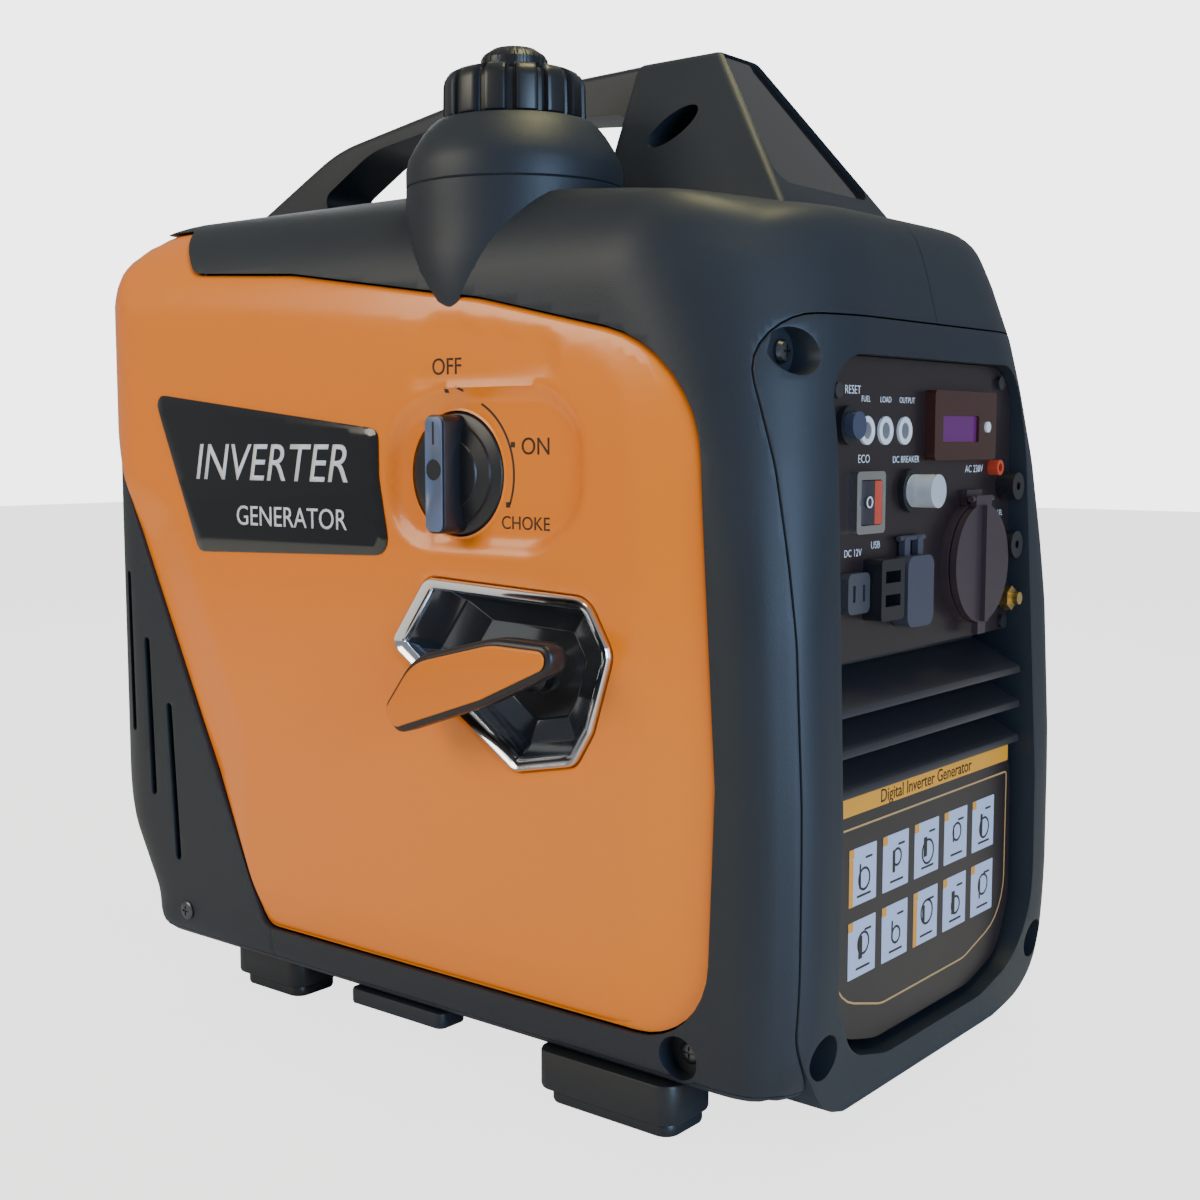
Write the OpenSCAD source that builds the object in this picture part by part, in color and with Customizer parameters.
/* [Casing] */
// Length over the two end faces
casing_l = 460; // [450:2:470]
// Width over the two side panels
casing_w = 262; // [256:2:268]
// Height of the top line above the floor
casing_top = 411; // [409:1:413]
// Height of the lower edge above the floor
casing_base = 24; // [22:1:26]
// Radius of the four vertical corners
corner_r = 46; // [42:1:50]
// Radius of the two long shoulders
shoulder_r = 55; // [50:1:58]
// Wall of the moulded shells
wall = 3; // [2.5:0.5:3.5]
// Gap between neighbouring mouldings
gap = 0.6; // [0.4:0.1:0.8]

/* [Control end] */
// Front of the control plate along X
plate_x = 213; // [212:0.5:214]
// Front of the instruction label along X
label_x = 218; // [217:0.5:219]
// Radius of the mains socket's round cup
socket_r = 19.6; // [19:0.1:20]

/* [Starter] */
// Depth of the starter bowl
bowl_depth = 20; // [18:1:20]
// Diameter of the starter rope
rope_d = 4; // [3:0.5:4]

/* [Fuel] */
// Radius of the fuel cap over its grips
cap_r = 33; // [31:0.5:34]
// Number of grips round the fuel cap
cap_grips = 14; // [10:1:18]

/* [Feet] */
// Distance between the foot screws along the length
foot_pitch_x = 240; // [236:1:244]
// Distance between the foot screws across the width
foot_pitch_y = 202; // [200:1:204]
// Radius of the foot screw holes
foot_hole_r = 3; // [2.5:0.25:3.5]

/* [Hidden] */
$fn = 48;
arc_steps = 5;
end_x = casing_l / 2;
side_y = casing_w / 2;
split_z = 30;
end_seam_x = 205;
knob_at = [51, 0, 278];
rope_at = [84, 0, 190];
cap_at = [44, -82, 0];
crank_at = [45, 0, 160];
socket_at = [0, 45, 236];
fit = 0.05;

// Outlines: each corner is [across, up, radius].
function side_line(base) = [
    [-177, base, 14], [216, base, 14], [end_x, 64, 60], [end_x, 125, 150], [219, 343, 30],
    [207, 389, 14], [150, 395, 60], [0, casing_top, 150], [-end_x, casing_top, 62], [-end_x, 118, 25]];
function plan_line() = [
    [-end_x, -side_y, corner_r], [end_x, -side_y, corner_r],
    [end_x, side_y, corner_r], [-end_x, side_y, corner_r]];
function front_line(base) = [
    [-side_y, base, 14], [side_y, base, 14],
    [side_y, casing_top, shoulder_r], [-side_y, casing_top, shoulder_r]];
end_line = [[-40, 9, 80], [40, 9, 80], [116, 30, 18], [116, 343, 28], [-116, 343, 28], [-116, 30, 18]];
recess_line = [
    [-40, 29, 60], [40, 29, 60], [93, 44, 20], [93, 120, 0],
    [88, 328, 22], [-88, 328, 22], [-93, 120, 0], [-93, 44, 20]];
panel_line = [
    [-86, 46, 10], [187, 46, 38], [191, 155, 0], [180, 329, 60], [66, 354, 90],
    [-60, 372, 0], [-147, 379, 16], [-172, 408, 0], [-260, 408, 0], [-260, 306, 0],
    [-212, 306, 0]];
rear_line = [
    [-260, 20, 0], [-80, 20, 0], [-86, 70, 0], [-212, 306, 0], [-212, 420, 0], [-260, 420, 0]];
bezel_line = [
    [102, 150, 8], [130, 161, 8], [139, 203, 8], [120, 227, 8], [33, 231, 8], [9, 200, 8], [76, 152, 8]];
handle_line = [
    [-222, 420, 0], [-222, 400, 0], [190, 385, 0], [158, 405, 0], [116, 473, 6],
    [-62, 470, 120], [-140, 458, 120]];
grip_gap_line = [[-172, 424, 6], [-60, 413, 4], [62, 409, 6], [62, 450, 10], [-62, 460, 120], [-120, 452, 60]];

// Corner rounding and inward offset of an outline that runs counterclockwise.
function unit(v) = v / norm(v);
function left_of(v) = [-v[1], v[0]];
function spot(p) = [p[0], p[1]];
function corner(a, b, c, r) =
    let (u = unit(b - a), v = unit(c - b), s = u[0] * v[1] - u[1] * v[0] >= 0 ? 1 : -1,
         n = s * left_of(u), m = s * left_of(v), mid = b + r * (n + m) / (1 + n * m),
         from = atan2(-n[1], -n[0]), turn = s * acos(max(-1, min(1, u * v))))
    r == 0 ? [b] : [for (k = [0:arc_steps]) mid + r * [cos(from + turn * k / arc_steps),
                                                       sin(from + turn * k / arc_steps)]];
function rounded(line) = let (n = len(line)) [
    for (i = [0:n - 1])
        for (p = corner(spot(line[(i + n - 1) % n]), spot(line[i]), spot(line[(i + 1) % n]), line[i][2])) p];
function inset(line, d) = let (n = len(line)) [
    for (i = [0:n - 1])
        let (a = spot(line[(i + n - 1) % n]), b = spot(line[i]), c = spot(line[(i + 1) % n]),
             u = left_of(unit(b - a)), v = left_of(unit(c - b)), q = b + d * (u + v) / (1 + u * v))
        [q[0], q[1], max(line[i][2] - d, 0)]];

// Prisms of an outline along each axis, between two places on that axis.
module along_x(line, x0, x1)
    translate([x0, 0, 0]) rotate([90, 0, 90]) linear_extrude(x1 - x0) polygon(rounded(line));
module along_y(line, y0, y1)
    translate([0, y1, 0]) rotate([90, 0, 0]) linear_extrude(y1 - y0) polygon(rounded(line));
module along_z(line, z0, z1)
    translate([0, 0, z0]) linear_extrude(z1 - z0) polygon(rounded(line));
// Round bars along X and Y.
module bar_x(r, x0, x1) translate([x0, 0, 0]) rotate([0, 90, 0]) cylinder(r = r, h = x1 - x0);
module bar_y(r, y0, y1) translate([0, y1, 0]) rotate([90, 0, 0]) cylinder(r = r, h = y1 - y0);
module box_at(low, high) translate(low) cube(high - low);
module both_sides() { children(); mirror([0, 1, 0]) children(); }
function slab_line(y0, y1, z0, z1, r) = [[y0, z0, r], [y1, z0, r], [y1, z1, r], [y0, z1, r]];

// The whole casing as a solid, inset by d, and its wall.
module casing(d, base = casing_base) intersection() {
    along_y(inset(side_line(base), d), -200, 200);
    along_z(inset(plan_line(), d), 0, 450);
    along_x(inset(front_line(base), d), -300, 300);
}
module casing_wall() difference() { casing(0); casing(wall); }

// Places of the cover screws: round wells at the control end.
well_places = [[-101, 325], [101, 325], [-101, 44], [101, 44]];
well_floor = 209;
module wells(r, x0) for (p = well_places) translate([0, p[0], p[1]]) bar_x(r, x0, 260);
base_screws = [[170, 39], [-150, 42]];

module base_tray() color("dimgray") {
    difference() {
        intersection() { casing_wall(); box_at([-240, -140, 0], [240, 140, split_z]); }
        along_x(inset(end_line, -gap), end_seam_x - gap, 260);
        for (x = [-1, 1], y = [-1, 1]) translate([x * foot_pitch_x / 2, y * foot_pitch_y / 2, 0])
            cylinder(r = foot_hole_r, h = 60);
    }
    both_sides() box_at([-31, -124, 16], [32, -106, casing_base]);
}

// One half of the dark shell: top, shoulders, the strip round the side panel and half the front.
module half_shell() difference() {
    intersection() { casing_wall(); box_at([-240, -140, split_z + gap], [240, -gap / 2, 450]); }
    along_x(inset(end_line, -gap), end_seam_x - gap, 260);
    along_y(inset(panel_line, -gap), -150, -60);
    along_y(inset(rear_line, -gap), -150, 150);
    for (p = base_screws) translate([p[0], 0, p[1]]) bar_y(2.5, -150, -110);
}
module left_shell() color("darkslategray") difference() {
    half_shell();
    translate([cap_at[0], cap_at[1], 360]) cylinder(r = 38, h = 90);
}
module right_shell() color("darkslategray") mirror([0, 1, 0]) half_shell();

module end_cover() color("darkslategray") difference() {
    union() {
        difference() {
            intersection() {
                casing(0, 9);
                along_x(end_line, end_seam_x, 260);
            }
            along_x(inset(recess_line, 4), 200, 260);
            along_x(recess_line, plate_x - 3, 260);
            along_x(inset(end_line, 4), 200, 207);
        }
        difference() {
            along_x(inset(recess_line, -1), plate_x - 3, label_x - 1);
            box_at([200, -120, 145], [260, 120, 340]);
        }
    }
    wells(9, well_floor);
    wells(2.5, 200);
}

module rear_cover() color("darkslategray") difference() {
    intersection() {
        casing_wall();
        along_y(rear_line, -150, 150);
        box_at([-240, -140, split_z + gap], [0, 140, 450]);
    }
    both_sides() along_y(inset(panel_line, -gap), -150, -60);
    for (p = base_screws) translate([p[0], 0, p[1]]) bar_y(2.5, -150, 150);
    both_sides() for (k = [0:2]) along_y(
        [[-187.5 + 15 * k, 136 - 34 * k, 2], [-182.5 + 15 * k, 136 - 34 * k, 2],
         [-187.5 + 17 * k, 228 - 36 * k, 2], [-192.5 + 17 * k, 228 - 36 * k, 2]], -150, -100);
    translate([0, 25, 190]) bar_x(34.3, -260, -200);
}

module exhaust_grille() color("gray") difference() {
    translate([0, 25, 190]) bar_x(34, -end_x + 1, -end_x + 8);
    translate([0, 25, 190]) bar_x(31, -end_x - 1, -end_x + 5);
    translate([0, 25, 190]) bar_x(15, -end_x - 1, -200);
    for (a = [0:30:330]) translate([0, 25, 190]) rotate([a, 0, 0])
        box_at([-240, -2, 19], [-200, 2, 29]);
}

module exhaust_outlet() color("silver") translate([0, 25, 190]) difference() {
    bar_x(14, -end_x, -198);
    bar_x(11, -end_x - 1, -190);
}

module side_panel() intersection() {
    casing_wall();
    along_y(panel_line, -150, -60);
}
module left_panel() color("orange") difference() {
    side_panel();
    translate(knob_at) bar_y(31.3, -150, -100);
    along_y(inset(bezel_line, 2), -150, -100);
}
module right_panel() color("orange") mirror([0, 1, 0]) side_panel();

// One moulding: rear leg, grip, front pillar.
module handle() color("dimgray") difference() {
    union() {
        intersection() {
            along_y(handle_line, -17, 17);
            box_at([-240, -60, 380], [70, 60, 480]);
        }
        hull() {
            box_at([64, -16, 460], [113, 16, 473]);
            box_at([64, -52, 380], [172, 52, 392]);
        }
    }
    along_y(grip_gap_line, -60, 60);
    casing(0);
    translate([cap_at[0], cap_at[1], 390]) cylinder(r = 50.6, h = 60);
    for (k = [-1:1]) translate([97 + 6 * k, 0, 438 + 2 * k]) bar_y(6, -60, 60);
    translate([-197, 0, 400]) cylinder(r = 2.5, h = 40);
    translate([-197, 0, 424]) cylinder(r = 5.5, h = 40);
    handle_plate_place() linear_extrude(30) polygon(rounded(handle_plate_line));
}
// The pillar's sloping front face, and the plate let into it.
handle_plate_line = [[-8, -14, 3], [76, -42, 8], [76, 42, 8], [-8, 14, 3]];
module handle_plate_place() translate([116, 0, 466]) rotate([0, 53.9, 0]) translate([0, 0, -2]) children();
module handle_plate() color("black") handle_plate_place()
    linear_extrude(1.2) polygon(rounded(inset(handle_plate_line, 0.4)));

module badge_plate() color("black") difference() {
    along_y([[-130, 236, 6], [11, 240, 8], [4, 276, 20], [4, 298, 5], [-165, 317, 5]],
            -side_y - 1.2, -side_y);
    translate(knob_at) bar_y(40, -150, -100);
}

// Engine switch: a round knob with a bar across it, on a shaft that works the fuel valve and choke.
module engine_switch_knob() color("black") translate(knob_at) {
    bar_y(27.5, -side_y - 3, -side_y + 2);
    box_at([-6, -side_y - 13, -26], [6, -side_y - 2, 26]);
    bar_y(5, -side_y + 1, -102);
}
module engine_switch_cup() color("black") translate(knob_at) difference() {
    bar_y(31, -side_y + 0.5, -104);
    bar_y(28.5, -150, -side_y + 4);
    bar_y(28.5, -side_y + 3, -108);
    bar_y(5 + fit, -150, -90);
}

module starter_bezel() color("silver") difference() {
    along_y(inset(bezel_line, 2.2), -side_y - 3, -side_y + 4);
    along_y(inset(bezel_line, 10), -150, -100);
}
module starter_bowl() color("black") difference() {
    along_y(inset(bezel_line, 10.2), -side_y, -side_y + bowl_depth + 3);
    along_y(inset(bezel_line, 12.5), -side_y - 1, -side_y + bowl_depth);
    translate(rope_at) bar_y(6, -150, -90);
}
// T-grip: a blade that tapers to its lower end, with the rope's ferrule in its stem.
module starter_grip() color("black") translate(rope_at) {
    rotate([0, -23.6, 0]) along_y(
        [[-64, -9, 5], [-10, -11, 5], [34, -11, 8], [40, 6, 8], [20, 13, 8], [-40, 3, 5]],
        -side_y - 29, -side_y - 15);
    difference() {
        bar_y(9, -side_y - 16, -side_y + 4);
        bar_y(rope_d / 2 + fit, -side_y - 12, -side_y + 10);
    }
}
module grip_insert() color("orange") translate(rope_at) rotate([0, -23.6, 0])
    along_y([[-56, -6, 3], [-8, -7, 3], [28, -7, 5], [33, 4, 5], [18, 9, 5], [-38, 1, 3]],
            -side_y - 30.4, -side_y - 29);
module starter_rope() color("black") translate(rope_at) bar_y(rope_d / 2, -side_y - 12, -101);

module filler_collar() color("dimgray") difference() {
    union() {
        translate([cap_at[0], cap_at[1], 398]) cylinder(r = 50, h = 17);
        translate([cap_at[0], cap_at[1], 415]) cylinder(r1 = 50, r2 = 37, h = 22);
        intersection() {
            translate([cap_at[0] + 3, cap_at[1], 402]) sphere(r = 54);
            box_at([-40, -140, 345], [120, -100, 415]);
        }
    }
    casing(0);
    translate(cap_at) translate([0, 0, 380]) cylinder(r = 25, h = 80);
}
module fuel_cap() color("black") translate(cap_at) difference() {
    union() {
        translate([0, 0, 437.5]) cylinder(r = cap_r - 3, h = 22);
        for (k = [0:cap_grips - 1]) rotate([0, 0, k * 360 / cap_grips])
            box_at([cap_r - 8, -4, 438.5], [cap_r, 4, 457]);
        translate([0, 0, 425]) cylinder(r = 24, h = 13);
        translate([0, 0, 459]) cylinder(r = 5, h = 4);
    }
    translate([0, 0, 424]) cylinder(r = 22.4, h = 12);
}
module vent_knob() color("black") translate(cap_at) difference() {
    union() {
        translate([0, 0, 460]) cylinder(r = 15.5, h = 7);
        translate([0, 0, 466]) cylinder(r1 = 15, r2 = 10, h = 5);
    }
    translate([0, 0, 459]) cylinder(r = 5 + fit, h = 4.3);
}

// Control plate and what it carries.
lamp_places = [[-53, 297], [-37, 297], [-20, 297]];
jack_places = [[80, 271], [80, 243]];
plate_screws = [[-78, 313], [74, 320], [-80, 207], [82, 205]];
module control_plate() color("black") difference() {
    along_x(inset(recess_line, 0.4), plate_x - 3, plate_x);
    box_at([200, -120, 0], [240, 120, 201]);
    translate(socket_at) bar_x(24.1, 200, 220);
    translate([0, -70, 299]) bar_x(4 + fit, 200, 220);
    translate([0, -15, 271]) bar_x(4 + fit, 200, 220);
    for (p = plate_screws) translate([0, p[0], p[1]]) bar_x(1.6, 200, 220);
}
module button_collars() color("gray") {
    translate([0, -70, 299]) difference() {
        bar_x(8, plate_x, plate_x + 3);
        bar_x(5.75, plate_x - 1, plate_x + 4);
    }
    translate([0, -15, 271]) difference() {
        bar_x(9.5, plate_x, plate_x + 3);
        bar_x(7.6, plate_x - 1, plate_x + 5);
    }
}
module reset_button() color("black") translate([0, -70, 299]) {
    bar_x(5.65, plate_x + 2.5, plate_x + 7);
    bar_x(4, plate_x - 8, plate_x + 3);
}
module pilot_lamps() for (p = lamp_places) translate([0, p[0], p[1]]) {
    color("white") difference() {
        bar_x(6, plate_x, plate_x + 1.5);
        bar_x(4, plate_x - 1, plate_x + 3);
    }
    color("gray") bar_x(4, plate_x, plate_x + 2);
}
module display_bezel() color("black") difference() {
    along_x(slab_line(0, 62, 284, 315, 2), plate_x, plate_x + 5);
    along_x(slab_line(8, 44, 292, 304, 1), plate_x + 2, plate_x + 9);
    translate([0, 52, 299]) bar_x(2.6, plate_x + 2, plate_x + 9);
}
module display_window() color("purple") along_x(slab_line(8.1, 43.9, 292.1, 303.9, 1), plate_x + 2, plate_x + 3.6);
module display_button() color("white") translate([0, 52, 299]) bar_x(2.5, plate_x + 3.5, plate_x + 6);

module rocker_frame() color("black") difference() {
    along_x(slab_line(-66, -42, 254, 280, 2), plate_x, plate_x + 4);
    along_x(slab_line(-62.5, -45.5, 257.5, 276.5, 1), plate_x - 1, plate_x + 9);
}
module eco_rocker() color("red") translate([plate_x + 2, -54, 267]) {
    rotate([0, 0, -6]) intersection() {
        box_at([-1, -7.9, -9.2], [4, 7.9, 9.2]);
        translate([-14, 0, -10]) cylinder(r = 18, h = 20);
    }
    translate([0, 0, -9.45]) cylinder(r = 0.9, h = 18.9);
}
module breaker_boot() color("white") translate([0, -15, 271]) {
    bar_x(7.25, plate_x + 3.2, plate_x + 15);
    bar_x(4, plate_x - 8, plate_x + 4);
}
module dc_socket() color("gray") difference() {
    along_x(slab_line(-72, -54, 221, 238, 3), plate_x, plate_x + 4);
    box_at([plate_x + 1, -68, 226], [plate_x + 5, -66, 233]);
    box_at([plate_x + 1, -60, 226], [plate_x + 5, -58, 233]);
}
module usb_socket() color("black") difference() {
    along_x(slab_line(-53, -33, 217, 243, 2), plate_x, plate_x + 9);
    for (z = [223, 233]) box_at([plate_x + 2, -49.5, z], [plate_x + 12, -36.5, z + 5]);
}
module usb_cover() color("gray") {
    along_x(slab_line(-28, -4, 212, 243, 5), plate_x + 0.3, plate_x + 8);
    for (y = [-24, -12]) along_x(slab_line(y, y + 5, 242, 251, 2), plate_x + 1, plate_x + 4);
    translate([plate_x + 2.5, 0, 250.5]) bar_y(1.2, -27, -4);
}
module ac_socket() color("black") translate(socket_at) difference() {
    union() {
        bar_x(24, plate_x - 28, plate_x);
        bar_x(28, plate_x, plate_x + 4);
        box_at([plate_x, -8, 27], [plate_x + 3, 8, 34]);
    }
    bar_x(socket_r, plate_x - 13.1, plate_x + 9);
    for (y = [-9.5, 9.5]) translate([0, y, 0]) bar_x(2.5, plate_x - 26, plate_x);
}
module ac_flap() color("black") translate(socket_at) {
    bar_x(27.5, plate_x + 4.8, plate_x + 8);
    box_at([plate_x + 4.8, -8, 20], [plate_x + 8, 8, 31.5]);
    box_at([plate_x + 4.8, -4, -33], [plate_x + 8, 4, -26]);
    box_at([plate_x + 7.5, -2, -27], [plate_x + 10.5, 2, 27]);
    translate([plate_x + 6.4, 0, 30]) bar_y(1.5, -11, 11);
}
module parallel_jacks() for (p = jack_places) color("black") translate([0, p[0], p[1]]) difference() {
    bar_x(6.5, plate_x, plate_x + 9);
    bar_x(2, plate_x - 1, plate_x + 10);
}
module signal_jack() translate([0, 68, 280]) color("red") difference() {
    bar_x(3.6, plate_x, plate_x + 5);
    bar_x(2, plate_x - 1, plate_x + 6);
}
module earth_stud() color("gold") translate([0, 80, 217]) bar_x(3, plate_x, plate_x + 11);
module earth_nut() color("gold") translate([0, 80, 217]) difference() {
    rotate([0, 90, 0]) translate([0, 0, plate_x + 2.5]) cylinder(r = 6, h = 4.5, $fn = 6);
    bar_x(3 + fit, 200, 240);
}
module panel_screws() color("silver") for (p = plate_screws) translate([0, p[0], p[1]]) {
    bar_x(3.2, plate_x, plate_x + 2);
    bar_x(1.55, plate_x - 3, plate_x);
}

slat_z = [182, 165, 148];
module louvre_grille() color("black") {
    for (z = slat_z) translate([0, 0, z]) along_y(
        [[209, 1, 0], [209, 8, 0], [220, 2, 0], [222, 0, 0], [222, -2, 0], [219, -2, 0]], -86, 86);
    for (y = [-88.5, 86]) box_at([210, y, 150], [212, y + 2.5, 200]);
}
module instruction_label() color("orange") difference() {
    along_x(inset(recess_line, 5), label_x - 0.9, label_x);
    box_at([200, -120, 146], [260, 120, 340]);
}

module screw_x(p, x) translate([0, p[0], p[1]]) {
    bar_x(5, x, x + 3.5);
    bar_x(2.4, x - 7, x);
}
module cover_screws() color("silver") {
    for (p = well_places) screw_x(p, well_floor);
    both_sides() for (p = base_screws) translate([p[0], 0, p[1]]) {
        bar_y(5, -side_y - 1.5, -side_y);
        bar_y(2.4, -side_y, -side_y + 8);
    }
    translate([-197, 0, 424]) cylinder(r = 5, h = 3.5);
    translate([-197, 0, 412]) cylinder(r = 2.45, h = 12);
}

// Feet: the front pair is longer and sits further out than the rear pair.
module foot(x0, x1, y0, y1) difference() {
    union() {
        along_z([[x0, y0, 6], [x1, y0, 10], [x1, y1, 6], [x0, y1, 6]], 3, casing_base);
        along_z([[x0 + 2, y0 + 2, 6], [x1 - 2, y0 + 2, 8], [x1 - 2, y1 - 2, 5], [x0 + 2, y1 - 2, 5]], 0, 3.01);
    }
    translate([sign(x0) * foot_pitch_x / 2, -foot_pitch_y / 2, -1]) cylinder(r = foot_hole_r, h = 50);
}
module rubber_feet() color("black") both_sides() {
    foot(99, 168, -127, -93);
    foot(-139, -86, -110, -77);
}

// Inside the casing.
module fuel_tank() color("gray") difference() {
    union() {
        along_z([[-120, -98, 20], [104, -98, 20], [104, 98, 20], [-120, 98, 20]], 305, 385);
        translate([cap_at[0], cap_at[1], 384]) cylinder(r = 22, h = 45);
    }
    along_z([[-117, -95, 17], [101, -95, 17], [101, 95, 17], [-117, 95, 17]], 308, 382);
    translate([cap_at[0], cap_at[1], 370]) cylinder(r = 19, h = 70);
}
module crankcase() color("silver") {
    difference() {
        along_y([[-5, 105, 15], [98, 105, 15], [98, 212, 15], [-5, 212, 15]], -25, 75);
        translate(crank_at) bar_y(10 + fit, -60, 70);
    }
    for (x = [5, 85], y = [-12, 62]) translate([x, y, 57]) cylinder(r = 9, h = 48);
}
module engine_mounts() color("black") for (x = [5, 85], y = [-12, 62])
    translate([x, y, casing_base + wall]) cylinder(r = 13, h = 30);
module cylinder_head() color("silver") translate([-5.2, 25, 172]) rotate([0, -67, 0]) intersection() {
    union() {
        cylinder(r = 30, h = 92);
        for (k = [0:6]) translate([-42, -42, 22 + k * 9]) cube([84, 84, 4]);
        translate([-36, -36, 84]) cube([72, 72, 10]);
    }
    translate([-100, -60, 0]) cube([200, 120, 120]);
    rotate([0, 67, 0]) box_at([-200, -60, -100], [0, 60, 200]);
}
module crankshaft() color("silver") translate(crank_at) bar_y(10, -60, 68);
module flywheel_fan() color("gray") translate(crank_at) difference() {
    union() {
        bar_y(60, -66, -30);
        for (k = [0:11]) rotate([0, k * 30, 0]) box_at([22, -78, -1.5], [58, -65, 1.5]);
    }
    bar_y(52, -60, 0);
}
module stator() color("goldenrod") translate(crank_at) difference() {
    bar_y(46, -50, -25);
    bar_y(14, -60, 0);
    for (k = [0:11]) rotate([0, k * 30, 0]) box_at([30, -51, -2], [50, -29, 2]);
}
module recoil_housing() color("dimgray") translate(crank_at) {
    difference() {
        bar_y(62, -106, -84);
        bar_y(59, -103, -80);
        for (k = [0:7]) rotate([0, k * 45, 0]) box_at([15, -110, -3], [36, -100, 3]);
        translate(rope_at - crank_at) bar_y(4, -120, -90);
    }
    bar_y(5, -103, -86);
}
module rope_pulley() color("black") translate(crank_at) difference() {
    bar_y(40, -101, -90);
    bar_y(5 + fit, -120, -80);
    difference() { bar_y(41, -98, -93); bar_y(34, -98, -93); }
}
module muffler() color("silver") {
    difference() {
        along_y([[-198, 130, 22], [-128, 130, 22], [-128, 232, 22], [-198, 232, 22]], -55, 85);
        translate([0, 25, 190]) bar_x(11, -205, -170);
    }
}
module carburettor() color("silver") {
    box_at([30, 22, 212.5], [66, 62, 256]);
    translate([0, 42, 236]) bar_x(12, 66, 76);
}
module air_filter_box() color("black") along_z([[76.5, -58, 12], [158, -58, 12], [158, 100, 12], [76.5, 100, 12]], 220, 292);
module spark_plug() color("white") translate([-5.2, 25, 172]) rotate([0, -67, 0]) {
    translate([0, 0, 94]) cylinder(r = 8, h = 8, $fn = 6);
    translate([0, 0, 102]) cylinder(r = 5, h = 16);
}
module inverter_module() color("silver") {
    box_at([112, -88, 34], [196, 88, 112]);
    for (k = [0:10]) box_at([112, -80 + 15 * k, 112], [196, -76 + 15 * k, 132]);
}

base_tray();
left_shell();
right_shell();
end_cover();
rear_cover();
exhaust_grille();
exhaust_outlet();
left_panel();
right_panel();
handle();
handle_plate();
badge_plate();
engine_switch_knob();
engine_switch_cup();
starter_bezel();
starter_bowl();
starter_grip();
grip_insert();
starter_rope();
filler_collar();
fuel_cap();
vent_knob();
control_plate();
button_collars();
reset_button();
pilot_lamps();
display_bezel();
display_window();
display_button();
rocker_frame();
eco_rocker();
breaker_boot();
dc_socket();
usb_socket();
usb_cover();
ac_socket();
ac_flap();
parallel_jacks();
signal_jack();
earth_stud();
earth_nut();
panel_screws();
louvre_grille();
instruction_label();
cover_screws();
rubber_feet();
fuel_tank();
crankcase();
engine_mounts();
cylinder_head();
spark_plug();
carburettor();
air_filter_box();
crankshaft();
flywheel_fan();
stator();
recoil_housing();
rope_pulley();
muffler();
inverter_module();
